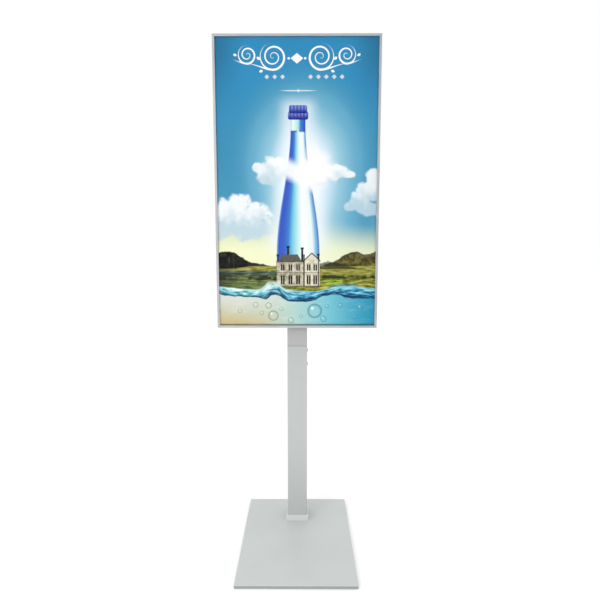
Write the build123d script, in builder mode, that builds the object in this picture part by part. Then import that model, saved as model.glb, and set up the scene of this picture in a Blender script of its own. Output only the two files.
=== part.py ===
from build123d import *
import os
from math import cos, radians, sin

# A floor-standing poster sign, in millimetres. The origin is on the floor under the
# centre of the base plate, +Z is up, +X is the viewer's right and the poster faces -Y.

# ---------------------------------------------------------------- driving dimensions

# Base
BASE_WIDTH = 320.0
BASE_DEPTH = 420.0
PLATE_THICKNESS = 8.0
PLATE_CORNER_RADIUS = 1.5
PLATE_EDGE_RADIUS = 0.8
PAD_RADIUS = 12.0
PAD_HEIGHT = 1.0
PAD_EDGE_RADIUS = 0.3
PAD_INSET = 22.0

# Posts, both of the same square tube
TUBE_SIZE = 60.0
TUBE_WALL = 2.0
TUBE_RADIUS = 2.2
BORE_RADIUS = 1.0
FIT_GAP = 0.1
POST_Y = 115.0
LOWER_POST_TOP = 570.0
GLIDE_BUSH_RIM = 1.0
SEAM_GAP = 0.3
UPPER_POST_TOP = 1250.0
COLLAR_SIZE = 70.0
COLLAR_HEIGHT = 17.0
COLLAR_EDGE_RADIUS = 1.0

# Spigot, the inner tube that joins the posts and slides in the lower one
SPIGOT_SIZE = 50.0
SPIGOT_WALL = 2.0
SPIGOT_RADIUS = 2.0
SPIGOT_BORE_RADIUS = 1.0
SPIGOT_BOTTOM = 285.0
SPIGOT_TOP = 700.0
SLIDING_GAP = 0.3

# Panel
PANEL_WIDTH = 470.0
PANEL_HEIGHT = 822.0
PANEL_BOTTOM = 632.0
CROSSBAR_DEPTH = 16.0
CROSSBAR_HEIGHTS = (780.0, 1200.0)

# Frame section: u runs inwards from the panel's outer edge, v forwards from its back
PANEL_DEPTH = 14.0
FACE_WIDTH = 7.0
FACE_THICKNESS = 1.8
PIVOT_U = 2.4
PIVOT_V = 8.0
BEAD_RADIUS = 1.5
SOCKET_RADIUS = 1.55
SOCKET_OUTER_RADIUS = 2.4
SOCKET_OPENS = 60.0
SOCKET_CLOSES = 205.0
FLANGE_WIDTH = 16.0
FLANGE_THICKNESS = 1.5
BOX_WIDTH = 5.0
BOX_DEPTH = 5.4
CHAMBER_WALL = 1.2
CHAMBER_DEPTH = 2.9
MITRE_GAP = 0.15
BEAD_SETBACK = 6.0
OUTER_WALL_THICKNESS = 0.9
OUTER_WALL_TOP = 7.2
SOCKET_STEM_WIDTH = 1.6
SOCKET_STEM_RISE = 0.8

# Sheets inside the frame
SHEET_EDGE_U = 5.6
BACKBOARD_THICKNESS = 8.0
POSTER_THICKNESS = 0.4
COVER_SHEET_THICKNESS = 1.0

# ---------------------------------------------------------------- derived dimensions

PLATE_TOP = PAD_HEIGHT + PLATE_THICKNESS
TUBE_BORE = TUBE_SIZE - 2 * TUBE_WALL
PLUG_SIZE = TUBE_BORE - 2 * FIT_GAP
POST_FRONT = POST_Y - TUBE_SIZE / 2
POST_BACK = POST_Y + TUBE_SIZE / 2
POST_RIGHT = TUBE_SIZE / 2
UPPER_POST_BOTTOM = LOWER_POST_TOP + GLIDE_BUSH_RIM + SEAM_GAP
PANEL_BACK = POST_FRONT - CROSSBAR_DEPTH
PANEL_CENTRE = PANEL_BOTTOM + PANEL_HEIGHT / 2
PANEL_TOP = PANEL_BOTTOM + PANEL_HEIGHT
FACE_BACK_V = PANEL_DEPTH - FACE_THICKNESS
BACKBOARD_V = FLANGE_THICKNESS
POSTER_V = BACKBOARD_V + BACKBOARD_THICKNESS
COVER_SHEET_V = POSTER_V + POSTER_THICKNESS
SHEETS_FRONT_V = COVER_SHEET_V + COVER_SHEET_THICKNESS
SHEET_WIDTH = PANEL_WIDTH - 2 * SHEET_EDGE_U
SHEET_HEIGHT = PANEL_HEIGHT - 2 * SHEET_EDGE_U

# The post's own plane, and the panel's back plane with its normal facing forwards
post_plane = Plane(origin=(0, POST_Y, 0))
panel_plane = Plane(origin=(0, PANEL_BACK, PANEL_CENTRE), x_dir=(1, 0, 0), z_dir=(0, -1, 0))

# One plane per side of the panel: local x is u, local y is v, and z runs along the rail
side_planes = {
    "top": Plane(origin=(0, PANEL_BACK, PANEL_TOP), x_dir=(0, 0, -1), z_dir=(-1, 0, 0)),
    "bottom": Plane(origin=(0, PANEL_BACK, PANEL_BOTTOM), x_dir=(0, 0, 1), z_dir=(1, 0, 0)),
    "left": Plane(origin=(-PANEL_WIDTH / 2, PANEL_BACK, PANEL_CENTRE), x_dir=(1, 0, 0), z_dir=(0, 0, -1)),
    "right": Plane(origin=(PANEL_WIDTH / 2, PANEL_BACK, PANEL_CENTRE), x_dir=(-1, 0, 0), z_dir=(0, 0, 1)),
}
side_lengths = {"top": PANEL_WIDTH, "bottom": PANEL_WIDTH, "left": PANEL_HEIGHT, "right": PANEL_HEIGHT}

# ---------------------------------------------------------------- fasteners

# Countersunk base screws, M8
BASE_SCREW_RADIUS = 4.0
BASE_SCREW_HEAD_RADIUS = 7.9
BASE_SCREW_LENGTH = 20.0
BASE_SCREW_SPACING = 34.0
BASE_SOCKET_APOTHEM = 2.5
BASE_SOCKET_DEPTH = 3.0
# M6 button-head screws for the clamp and the spigot, and small pan-head screws for the frame:
# radii of the shank, head and flat top, heights of the rim and head, and the hexagon socket
M6_RADIUS = 3.0
M6_BUTTON = dict(shank=M6_RADIUS, head=5.4, flat=2.4, rim=0.6, height=3.3, socket=2.0, socket_depth=2.0)
FRAME_SCREW_RADIUS = 2.0
FRAME_PAN = dict(
    shank=FRAME_SCREW_RADIUS, head=4.0, flat=2.8, rim=1.5, height=2.6, socket=1.3, socket_depth=1.4
)
FRAME_SCREW_LENGTH = 6.0
FRAME_SCREW_U = 10.5
CLAMP_SCREW_HEIGHTS = {"lower": 509.0, "upper": 552.0}
SPIGOT_SCREW_HEIGHTS = (610.0, 665.0)
SPIGOT_SCREW_LENGTH = 12.0
# Hexagon rail bolts, nuts and washers, M6
HEX_APOTHEM = 5.0
HEX_HEAD_HEIGHT = 4.0
HEX_CHAMFER = 0.4
NUT_HEIGHT = 5.0
WASHER_RADIUS = 6.0
WASHER_THICKNESS = 1.6
RAIL_BOLT_SPACING = 30.0
RAIL_BOLT_PROUD = 1.5
# Point of every turned screw, the lean of a rounded head's side, and the radial clearance in holes
SCREW_POINT = 0.4
HEAD_LEAN = -0.3
HOLE_CLEARANCE = 0.05


def cut_hex_socket(top, apothem, depth):
    """Cut a hexagon socket down into the top of the active screw."""
    with BuildSketch(Plane.XY.offset(top)) as socket:
        RegularPolygon(apothem, 6, major_radius=False)
    extrude(socket.sketch, amount=-depth, mode=Mode.SUBTRACT)


def round_head_screw(shape, shank_length):
    """Screw with a rounded head above the local XY plane and its shank below it."""
    rim = (shape["head"], shape["rim"])
    crown = (shape["flat"], shape["height"])
    with BuildPart() as screw:
        with BuildSketch(Plane.XZ):
            with BuildLine():
                Polyline(
                    (0, shape["height"]),
                    (0, -shank_length),
                    (shape["shank"] - SCREW_POINT, -shank_length),
                    (shape["shank"], SCREW_POINT - shank_length),
                    (shape["shank"], 0),
                    (shape["head"], 0),
                    rim,
                )
                TangentArc(rim, crown, tangent=(HEAD_LEAN, 1))
                Line(crown, (0, shape["height"]))
            make_face()
        revolve(axis=Axis.Z)
        cut_hex_socket(shape["height"], shape["socket"], shape["socket_depth"])
    return screw.part


def countersunk_screw(shank_length):
    """M8 countersunk screw. Its flat head lies on the local XY plane, its shank below."""
    shank_start = BASE_SCREW_RADIUS - BASE_SCREW_HEAD_RADIUS
    with BuildPart() as screw:
        with BuildSketch(Plane.XZ):
            with BuildLine():
                Polyline(
                    (0, 0),
                    (0, -shank_length),
                    (BASE_SCREW_RADIUS - SCREW_POINT, -shank_length),
                    (BASE_SCREW_RADIUS, SCREW_POINT - shank_length),
                    (BASE_SCREW_RADIUS, shank_start),
                    (BASE_SCREW_HEAD_RADIUS, 0),
                    close=True,
                )
            make_face()
        revolve(axis=Axis.Z)
        cut_hex_socket(0, BASE_SOCKET_APOTHEM, BASE_SOCKET_DEPTH)
    return screw.part


def hex_bolt(shank_length):
    """M6 hexagon bolt, head above the local XY plane and shank below it."""
    with BuildPart() as bolt:
        with BuildSketch():
            RegularPolygon(HEX_APOTHEM, 6, major_radius=False)
        extrude(amount=HEX_HEAD_HEIGHT)
        chamfer(bolt.faces().sort_by(Axis.Z)[-1].edges(), length=HEX_CHAMFER)
        with BuildSketch():
            Circle(M6_RADIUS)
        extrude(amount=-shank_length)
        chamfer(bolt.faces().sort_by(Axis.Z)[0].edges(), length=SCREW_POINT)
    return bolt.part


def hex_nut():
    """M6 nut on the local XY plane."""
    with BuildPart() as nut:
        with BuildSketch():
            RegularPolygon(HEX_APOTHEM, 6, major_radius=False)
            Circle(M6_RADIUS + HOLE_CLEARANCE, mode=Mode.SUBTRACT)
        extrude(amount=NUT_HEIGHT)
        chamfer(nut.faces().sort_by(Axis.Z)[-1].outer_wire().edges(), length=HEX_CHAMFER)
    return nut.part


def facing_back(y, points):
    """Planes with their normals along +Y, at the given x, z points."""
    return [Plane(origin=(x, y, z), z_dir=(0, 1, 0)) for x, z in points]


def facing_right(x, heights):
    """Planes with their normals along +X, on the post's centre line."""
    return [Plane(origin=(x, POST_Y, z), z_dir=(1, 0, 0)) for z in heights]


# ---------------------------------------------------------------- base

pad_spacing_x = BASE_WIDTH - 2 * PAD_INSET
pad_spacing_y = BASE_DEPTH - 2 * PAD_INSET
base_screw_plane = Plane(origin=(0, POST_Y, PAD_HEIGHT), z_dir=(0, 0, -1))

with BuildPart() as foot_pads:
    with BuildSketch():
        with GridLocations(pad_spacing_x, pad_spacing_y, 2, 2):
            Circle(PAD_RADIUS)
    extrude(amount=PAD_HEIGHT)
    fillet(foot_pads.faces().group_by(Axis.Z)[0].edges(), radius=PAD_EDGE_RADIUS)

with BuildPart() as base_plate:
    with BuildSketch(Plane.XY.offset(PAD_HEIGHT)):
        RectangleRounded(BASE_WIDTH, BASE_DEPTH, PLATE_CORNER_RADIUS)
    extrude(amount=PLATE_THICKNESS)
    fillet(base_plate.faces().sort_by(Axis.Z)[-1].edges(), radius=PLATE_EDGE_RADIUS)
    with Locations(base_screw_plane):
        with GridLocations(BASE_SCREW_SPACING, BASE_SCREW_SPACING, 2, 2):
            CounterSinkHole(
                radius=BASE_SCREW_RADIUS + HOLE_CLEARANCE,
                counter_sink_radius=BASE_SCREW_HEAD_RADIUS + HOLE_CLEARANCE,
                counter_sink_angle=90,
            )

FOOT_PLUG_HEIGHT = 22.0

with BuildPart() as post_foot_plug:
    with BuildSketch(post_plane.offset(PLATE_TOP)):
        RectangleRounded(PLUG_SIZE, PLUG_SIZE, BORE_RADIUS)
    extrude(amount=FOOT_PLUG_HEIGHT)
    with Locations(base_screw_plane):
        with GridLocations(BASE_SCREW_SPACING, BASE_SCREW_SPACING, 2, 2):
            Hole(radius=BASE_SCREW_RADIUS + HOLE_CLEARANCE)

with BuildPart() as base_screws:
    with Locations(base_screw_plane):
        with GridLocations(BASE_SCREW_SPACING, BASE_SCREW_SPACING, 2, 2):
            add(countersunk_screw(BASE_SCREW_LENGTH))


# ---------------------------------------------------------------- posts


def tube_section(size, wall, radius, bore_radius):
    """Square tube outline in the active sketch."""
    RectangleRounded(size, size, radius)
    RectangleRounded(size - 2 * wall, size - 2 * wall, bore_radius, mode=Mode.SUBTRACT)


with BuildPart() as post_collar:
    with BuildSketch(post_plane.offset(PLATE_TOP)):
        tube_section(COLLAR_SIZE, (COLLAR_SIZE - TUBE_SIZE) / 2 - FIT_GAP, TUBE_RADIUS, TUBE_RADIUS)
    extrude(amount=COLLAR_HEIGHT)
    fillet(post_collar.faces().sort_by(Axis.Z)[-1].outer_wire().edges(), radius=COLLAR_EDGE_RADIUS)

with BuildPart() as lower_post:
    with BuildSketch(post_plane.offset(PLATE_TOP)):
        tube_section(TUBE_SIZE, TUBE_WALL, TUBE_RADIUS, BORE_RADIUS)
    extrude(amount=LOWER_POST_TOP - PLATE_TOP)
    with Locations(*facing_right(POST_RIGHT, CLAMP_SCREW_HEIGHTS.values())):
        Hole(radius=M6_RADIUS + HOLE_CLEARANCE, depth=2 * TUBE_WALL)

# The tapped strip behind the clamp screws, and the window that the glide bush leaves for it
NUT_PLATE_THICKNESS = 2.4
NUT_PLATE_WIDTH = 30.0
NUT_PLATE_BOTTOM = 493.0
NUT_PLATE_TOP = 565.0
NUT_PLATE_CHAMFER = 2.0
bore_right = TUBE_BORE / 2
nut_plate_plane = Plane(origin=(bore_right - NUT_PLATE_THICKNESS / 2, POST_Y, NUT_PLATE_BOTTOM))

with BuildPart() as clamp_nut_plate:
    with BuildSketch(nut_plate_plane):
        Rectangle(NUT_PLATE_THICKNESS, NUT_PLATE_WIDTH)
    extrude(amount=NUT_PLATE_TOP - NUT_PLATE_BOTTOM)
    chamfer(clamp_nut_plate.edges().filter_by(Axis.X), length=NUT_PLATE_CHAMFER)
    with Locations(*facing_right(bore_right, CLAMP_SCREW_HEIGHTS.values())):
        Hole(radius=M6_RADIUS + HOLE_CLEARANCE)

GLIDE_BUSH_BOTTOM = 450.0
bush_bore = SPIGOT_SIZE + 2 * SLIDING_GAP
window_margin = 1.0
window_plane = Plane(origin=(bore_right, POST_Y, NUT_PLATE_BOTTOM - window_margin))
window_depth = TUBE_BORE - bush_bore + window_margin

with BuildPart() as glide_bush:
    with BuildSketch(post_plane.offset(GLIDE_BUSH_BOTTOM)):
        tube_section(PLUG_SIZE, (PLUG_SIZE - bush_bore) / 2, BORE_RADIUS, SPIGOT_RADIUS)
    extrude(amount=LOWER_POST_TOP - GLIDE_BUSH_BOTTOM)
    with BuildSketch(post_plane.offset(LOWER_POST_TOP)):
        tube_section(TUBE_SIZE, (TUBE_SIZE - bush_bore) / 2, TUBE_RADIUS, SPIGOT_RADIUS)
    extrude(amount=GLIDE_BUSH_RIM)
    with BuildSketch(window_plane):
        Rectangle(window_depth, NUT_PLATE_WIDTH + 2 * window_margin)
    extrude(amount=NUT_PLATE_TOP - NUT_PLATE_BOTTOM + 2 * window_margin, mode=Mode.SUBTRACT)

rail_bolt_x = RAIL_BOLT_SPACING / 2
rail_bolt_points = [(x, z) for x in (-rail_bolt_x, rail_bolt_x) for z in CROSSBAR_HEIGHTS]
spigot_screw_points = [(0, z) for z in SPIGOT_SCREW_HEIGHTS]

with BuildPart() as upper_post:
    with BuildSketch(post_plane.offset(UPPER_POST_BOTTOM)):
        tube_section(TUBE_SIZE, TUBE_WALL, TUBE_RADIUS, BORE_RADIUS)
    extrude(amount=UPPER_POST_TOP - UPPER_POST_BOTTOM)
    with Locations(*facing_back(POST_BACK, spigot_screw_points)):
        Hole(radius=M6_RADIUS + HOLE_CLEARANCE, depth=2 * TUBE_WALL)
    with Locations(*facing_back(POST_BACK, rail_bolt_points)):
        Hole(radius=M6_RADIUS + HOLE_CLEARANCE, depth=TUBE_SIZE)

TOP_CAP_THICKNESS = 3.0
TOP_CAP_SKIRT = 18.0
TOP_CAP_EDGE_RADIUS = 1.5

with BuildPart() as post_top_cap:
    with BuildSketch(post_plane.offset(UPPER_POST_TOP)):
        RectangleRounded(TUBE_SIZE, TUBE_SIZE, TUBE_RADIUS)
    extrude(amount=TOP_CAP_THICKNESS)
    fillet(post_top_cap.faces().sort_by(Axis.Z)[-1].edges(), radius=TOP_CAP_EDGE_RADIUS)
    with BuildSketch(post_plane.offset(UPPER_POST_TOP)):
        tube_section(PLUG_SIZE, TUBE_WALL, BORE_RADIUS, BORE_RADIUS)
    extrude(amount=-TOP_CAP_SKIRT)

# ---------------------------------------------------------------- spigot

with BuildPart() as spigot_tube:
    with BuildSketch(post_plane.offset(SPIGOT_BOTTOM)):
        tube_section(SPIGOT_SIZE, SPIGOT_WALL, SPIGOT_RADIUS, SPIGOT_BORE_RADIUS)
    extrude(amount=SPIGOT_TOP - SPIGOT_BOTTOM)
    with Locations(*facing_back(POST_Y + SPIGOT_SIZE / 2, spigot_screw_points)):
        Hole(radius=M6_RADIUS + HOLE_CLEARANCE, depth=2 * SPIGOT_WALL)

SPACER_BOTTOM = 575.0
SPACER_TOP = 695.0
spacer_bore = SPIGOT_SIZE + FIT_GAP

with BuildPart() as spigot_spacer:
    with BuildSketch(post_plane.offset(SPACER_BOTTOM)):
        tube_section(PLUG_SIZE, (PLUG_SIZE - spacer_bore) / 2, BORE_RADIUS, SPIGOT_RADIUS)
    extrude(amount=SPACER_TOP - SPACER_BOTTOM)
    with Locations(*facing_back(POST_Y + PLUG_SIZE / 2, spigot_screw_points)):
        Hole(radius=M6_RADIUS + HOLE_CLEARANCE, depth=2 * TUBE_WALL)

GLIDE_HEIGHT = 20.0
GLIDE_PLUG = 20.0
GLIDE_CHAMFER = 0.8
spigot_bore = SPIGOT_SIZE - 2 * SPIGOT_WALL
glide_size = TUBE_BORE - 2 * SLIDING_GAP

with BuildPart() as spigot_glide:
    with BuildSketch(post_plane.offset(SPIGOT_BOTTOM)):
        RectangleRounded(glide_size, glide_size, BORE_RADIUS)
    extrude(amount=-GLIDE_HEIGHT)
    chamfer(spigot_glide.faces().sort_by(Axis.Z)[0].edges(), length=GLIDE_CHAMFER)
    with BuildSketch(post_plane.offset(SPIGOT_BOTTOM)):
        tube_section(spigot_bore - 2 * FIT_GAP, SPIGOT_WALL, SPIGOT_BORE_RADIUS, SPIGOT_BORE_RADIUS)
    extrude(amount=GLIDE_PLUG)

nut_face = POST_Y + spigot_bore / 2

with BuildPart() as spigot_screws:
    with Locations(*facing_back(POST_BACK, spigot_screw_points)):
        add(round_head_screw(M6_BUTTON, SPIGOT_SCREW_LENGTH))

with BuildPart() as spigot_nuts:
    with Locations(*facing_back(nut_face - NUT_HEIGHT, spigot_screw_points)):
        add(hex_nut())

# The clamp screws stop just short of the spigot
CLAMP_SCREW_LENGTH = POST_RIGHT - SPIGOT_SIZE / 2 - SLIDING_GAP

with BuildPart() as clamp_screw_lower:
    with Locations(*facing_right(POST_RIGHT, [CLAMP_SCREW_HEIGHTS["lower"]])):
        add(round_head_screw(M6_BUTTON, CLAMP_SCREW_LENGTH))

with BuildPart() as clamp_screw_upper:
    with Locations(*facing_right(POST_RIGHT, [CLAMP_SCREW_HEIGHTS["upper"]])):
        add(round_head_screw(M6_BUTTON, CLAMP_SCREW_LENGTH))

# ---------------------------------------------------------------- crossbars behind the panel

CROSSBAR_INSET = 3.0
CROSSBAR_LENGTH = PANEL_WIDTH - 2 * CROSSBAR_INSET
CROSSBAR_SHEET = 1.5
BEND_RADIUS = 0.6
HAT_HALF_HEIGHT = 22.0
LIP_HALF_HEIGHT = 36.0
frame_screw_rise = (HAT_HALF_HEIGHT + LIP_HALF_HEIGHT) / 2
frame_screw_x = PANEL_WIDTH / 2 - FRAME_SCREW_U
frame_screw_heights = [z + rise for z in CROSSBAR_HEIGHTS for rise in (-frame_screw_rise, frame_screw_rise)]
frame_screw_points = [(x, z) for x in (-frame_screw_x, frame_screw_x) for z in frame_screw_heights]


def hat_outline():
    """Upper and lower halves of a top-hat section, x up the wall and y back from the panel."""
    inner = HAT_HALF_HEIGHT - CROSSBAR_SHEET
    web = CROSSBAR_DEPTH - CROSSBAR_SHEET
    half = [
        (inner, web),
        (inner, 0),
        (LIP_HALF_HEIGHT, 0),
        (LIP_HALF_HEIGHT, CROSSBAR_SHEET),
        (HAT_HALF_HEIGHT, CROSSBAR_SHEET),
        (HAT_HALF_HEIGHT, CROSSBAR_DEPTH),
    ]
    mirrored = [(-x, y) for x, y in reversed(half)]
    return half + mirrored


def make_crossbar(height):
    """Pressed-steel crossbar at one height, with its bolt and screw holes."""
    with BuildPart() as crossbar:
        with BuildSketch(Plane(origin=(0, PANEL_BACK, height), x_dir=(0, 0, 1), z_dir=(-1, 0, 0))) as hat:
            Polygon(*hat_outline(), align=None)
            fillet(hat.vertices(), radius=BEND_RADIUS)
        extrude(amount=CROSSBAR_LENGTH / 2, both=True)
        bolt_points = [p for p in rail_bolt_points if p[1] == height]
        with Locations(*facing_back(POST_FRONT, bolt_points)):
            Hole(radius=M6_RADIUS + HOLE_CLEARANCE, depth=2 * CROSSBAR_SHEET)
        screw_points = [p for p in frame_screw_points if abs(p[1] - height) < LIP_HALF_HEIGHT]
        with Locations(*facing_back(PANEL_BACK + CROSSBAR_SHEET, screw_points)):
            Hole(radius=FRAME_SCREW_RADIUS + HOLE_CLEARANCE, depth=2 * CROSSBAR_SHEET)
    return crossbar


crossbar_lower = make_crossbar(CROSSBAR_HEIGHTS[0])
crossbar_upper = make_crossbar(CROSSBAR_HEIGHTS[1])

# A moulded cap closes each open end of the crossbars
CAP_PLATE_THICKNESS = 1.5
CAP_PLATE_EDGE_RADIUS = 0.5
CAP_PLUG_LENGTH = 8.0
CAP_PLUG_WALL = 1.5
CAP_PLUG_RADIUS = 1.0
hat_bore_height = 2 * (HAT_HALF_HEIGHT - CROSSBAR_SHEET)
hat_bore_depth = CROSSBAR_DEPTH - CROSSBAR_SHEET


def crossbar_end(end, depth, height):
    """Plane at one end of a crossbar, a depth behind the panel, with its normal pointing outwards."""
    origin = (end * CROSSBAR_LENGTH / 2, PANEL_BACK + depth, height)
    return Plane(origin=origin, x_dir=(0, 0, 1), z_dir=(end, 0, 0))


def make_crossbar_cap(end, height):
    """Cap with a flat plate over the end of a crossbar and a hollow plug inside it."""
    with BuildPart() as cap:
        with BuildSketch(crossbar_end(end, CROSSBAR_DEPTH / 2, height)):
            Rectangle(2 * HAT_HALF_HEIGHT, CROSSBAR_DEPTH)
        extrude(amount=CAP_PLATE_THICKNESS)
        fillet(cap.faces().sort_by(Axis((0, 0, 0), (end, 0, 0)))[-1].edges(), radius=CAP_PLATE_EDGE_RADIUS)
        plug_height = hat_bore_height - 2 * FIT_GAP
        plug_depth = hat_bore_depth - 2 * FIT_GAP
        with BuildSketch(crossbar_end(end, hat_bore_depth / 2, height)):
            RectangleRounded(plug_height, plug_depth, CAP_PLUG_RADIUS)
            Rectangle(plug_height - 2 * CAP_PLUG_WALL, plug_depth - 2 * CAP_PLUG_WALL, mode=Mode.SUBTRACT)
        extrude(amount=-CAP_PLUG_LENGTH)
    return cap.part


with BuildPart() as crossbar_caps:
    for end in (-1, 1):
        for height in CROSSBAR_HEIGHTS:
            add(make_crossbar_cap(end, height))

rail_bolt_seat = POST_BACK + WASHER_THICKNESS
rail_nut_face = POST_FRONT - CROSSBAR_SHEET
rail_bolt_length = rail_bolt_seat - rail_nut_face + NUT_HEIGHT + RAIL_BOLT_PROUD

with BuildPart() as rail_bolts:
    with Locations(*facing_back(rail_bolt_seat, rail_bolt_points)):
        add(hex_bolt(rail_bolt_length))

with BuildPart() as rail_washers:
    with Locations(*facing_back(POST_BACK, rail_bolt_points)):
        Cylinder(WASHER_RADIUS, WASHER_THICKNESS, align=(Align.CENTER, Align.CENTER, Align.MIN))
        Cylinder(
            M6_RADIUS + 2 * HOLE_CLEARANCE,
            WASHER_THICKNESS,
            align=(Align.CENTER, Align.CENTER, Align.MIN),
            mode=Mode.SUBTRACT,
        )

with BuildPart() as rail_nuts:
    with Locations(*facing_back(rail_nut_face - NUT_HEIGHT, rail_bolt_points)):
        add(hex_nut())

with BuildPart() as frame_screws:
    with Locations(*facing_back(PANEL_BACK + CROSSBAR_SHEET, frame_screw_points)):
        add(round_head_screw(FRAME_PAN, FRAME_SCREW_LENGTH))

# ---------------------------------------------------------------- frame rails


def cut_mitres(side, gap):
    """Cut both ends of the active part to 45 degrees, each a gap short of the corner line."""
    plane = side_planes[side]
    for end in (-1, 1):
        along = plane.z_dir * end
        corner = plane.origin + along * (side_lengths[side] / 2 - gap)
        split(bisect_by=Plane(origin=corner, z_dir=plane.x_dir + along), keep=Keep.BOTTOM)


def ray(angle, length):
    """Point at an angle round the cover's pivot, in the frame section."""
    return (PIVOT_U + length * cos(radians(angle)), PIVOT_V + length * sin(radians(angle)))


def rail_section():
    """Base rail: rear flange, hollow box, outer wall and the open socket for the cover's bead."""
    with Locations((FLANGE_WIDTH / 2, FLANGE_THICKNESS / 2)):
        Rectangle(FLANGE_WIDTH, FLANGE_THICKNESS)
    with Locations((BOX_WIDTH / 2, BOX_DEPTH / 2)):
        Rectangle(BOX_WIDTH, BOX_DEPTH)
    with Locations((OUTER_WALL_THICKNESS / 2, OUTER_WALL_TOP / 2)):
        Rectangle(OUTER_WALL_THICKNESS, OUTER_WALL_TOP)
    with Locations((PIVOT_U, BOX_DEPTH)):
        Rectangle(SOCKET_STEM_WIDTH, 2 * SOCKET_STEM_RISE)
    with Locations((PIVOT_U, PIVOT_V)):
        Circle(SOCKET_OUTER_RADIUS)
        Circle(SOCKET_RADIUS, mode=Mode.SUBTRACT)
    mouth = [(PIVOT_U, PIVOT_V)]
    mouth_steps = 4
    mouth_reach = 1.5 * SOCKET_OUTER_RADIUS
    for step in range(mouth_steps + 1):
        angle = SOCKET_OPENS + (SOCKET_CLOSES - SOCKET_OPENS) * step / mouth_steps
        mouth.append(ray(angle, mouth_reach))
    Polygon(*mouth, align=None, mode=Mode.SUBTRACT)
    with Locations((BOX_WIDTH / 2, FLANGE_THICKNESS + CHAMBER_DEPTH / 2)):
        Rectangle(BOX_WIDTH - 2 * CHAMBER_WALL, CHAMBER_DEPTH, mode=Mode.SUBTRACT)


def make_frame_rail(side, screw_points=()):
    """Mitred base rail of one side of the panel, with holes for its frame screws."""
    with BuildPart() as frame_rail:
        with BuildSketch(side_planes[side]):
            rail_section()
        extrude(amount=side_lengths[side] / 2, both=True)
        cut_mitres(side, 0)
        if screw_points:
            with Locations(*facing_back(PANEL_BACK, screw_points)):
                Hole(radius=FRAME_SCREW_RADIUS + HOLE_CLEARANCE, depth=2 * FLANGE_THICKNESS)
    return frame_rail


frame_rail_top = make_frame_rail("top")
frame_rail_bottom = make_frame_rail("bottom")
frame_rail_left = make_frame_rail("left", [p for p in frame_screw_points if p[0] < 0])
frame_rail_right = make_frame_rail("right", [p for p in frame_screw_points if p[0] > 0])

# An L-shaped key lies in the chambers at each corner
KEY_ARM = 45.0
KEY_CLEARANCE = 0.1
key_near = CHAMBER_WALL + KEY_CLEARANCE
key_far = BOX_WIDTH - CHAMBER_WALL - KEY_CLEARANCE


def corner_key_outline(side_x, side_z):
    """L outline of the key in one corner of the panel."""
    outline = [(key_near, key_near), (KEY_ARM, key_near), (KEY_ARM, key_far), (key_far, key_far),
               (key_far, KEY_ARM), (key_near, KEY_ARM)]
    half_width = PANEL_WIDTH / 2
    half_height = PANEL_HEIGHT / 2
    return [(side_x * (half_width - a), side_z * (half_height - b)) for a, b in outline]


with BuildPart() as corner_keys:
    with BuildSketch(panel_plane.offset(FLANGE_THICKNESS + KEY_CLEARANCE)):
        for side_x in (-1, 1):
            for side_z in (-1, 1):
                Polygon(*corner_key_outline(side_x, side_z), align=None)
    extrude(amount=CHAMBER_DEPTH - 2 * KEY_CLEARANCE)

# ---------------------------------------------------------------- sheets

with BuildPart() as backboard:
    with BuildSketch(panel_plane.offset(BACKBOARD_V)):
        Rectangle(SHEET_WIDTH, SHEET_HEIGHT)
    extrude(amount=BACKBOARD_THICKNESS)
    with Locations(*facing_back(PANEL_BACK - BACKBOARD_V, frame_screw_points)):
        Hole(radius=FRAME_SCREW_RADIUS + HOLE_CLEARANCE, depth=FRAME_SCREW_LENGTH - 2 * CROSSBAR_SHEET + 0.2)

with BuildPart() as poster:
    with BuildSketch(panel_plane.offset(POSTER_V)):
        Rectangle(SHEET_WIDTH, SHEET_HEIGHT)
    extrude(amount=POSTER_THICKNESS)

with BuildPart() as clear_cover:
    with BuildSketch(panel_plane.offset(COVER_SHEET_V)):
        Rectangle(SHEET_WIDTH, SHEET_HEIGHT)
    extrude(amount=COVER_SHEET_THICKNESS)

# ---------------------------------------------------------------- snap covers and springs

LIP_THICKNESS = 1.2
LIP_GAP = 0.3
SKIRT_THICKNESS = 1.0
SKIRT_V = 10.8
NECK_THICKNESS = 1.0
ROOT_OVERLAP = 0.2
FACE_EDGE_RADIUS = 0.6


def cover_face_section():
    """The visible face of a snap cover, its inner lip and its short outer skirt."""
    face_root = FACE_BACK_V + ROOT_OVERLAP
    lip_bottom = SHEETS_FRONT_V + LIP_GAP
    with Locations((FACE_WIDTH / 2, FACE_BACK_V + FACE_THICKNESS / 2)):
        face = Rectangle(FACE_WIDTH, FACE_THICKNESS)
    fillet(face.vertices().group_by(Axis.Y)[-1], radius=FACE_EDGE_RADIUS)
    with Locations((FACE_WIDTH - LIP_THICKNESS / 2, (lip_bottom + face_root) / 2)):
        Rectangle(LIP_THICKNESS, face_root - lip_bottom)
    with Locations((SKIRT_THICKNESS / 2, (SKIRT_V + face_root) / 2)):
        Rectangle(SKIRT_THICKNESS, face_root - SKIRT_V)


def make_snap_cover(side):
    """Mitred snap cover of one side, with the shorter bead and neck that it turns on."""
    with BuildPart() as snap_cover:
        with BuildSketch(side_planes[side]):
            cover_face_section()
        extrude(amount=side_lengths[side] / 2, both=True)
        cut_mitres(side, MITRE_GAP)
        with BuildSketch(side_planes[side]):
            neck_top = FACE_BACK_V + ROOT_OVERLAP
            with Locations((PIVOT_U, PIVOT_V)):
                Circle(BEAD_RADIUS)
            with Locations((PIVOT_U, (PIVOT_V + neck_top) / 2)):
                Rectangle(NECK_THICKNESS, neck_top - PIVOT_V)
        extrude(amount=side_lengths[side] / 2 - BEAD_SETBACK, both=True)
    return snap_cover


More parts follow.
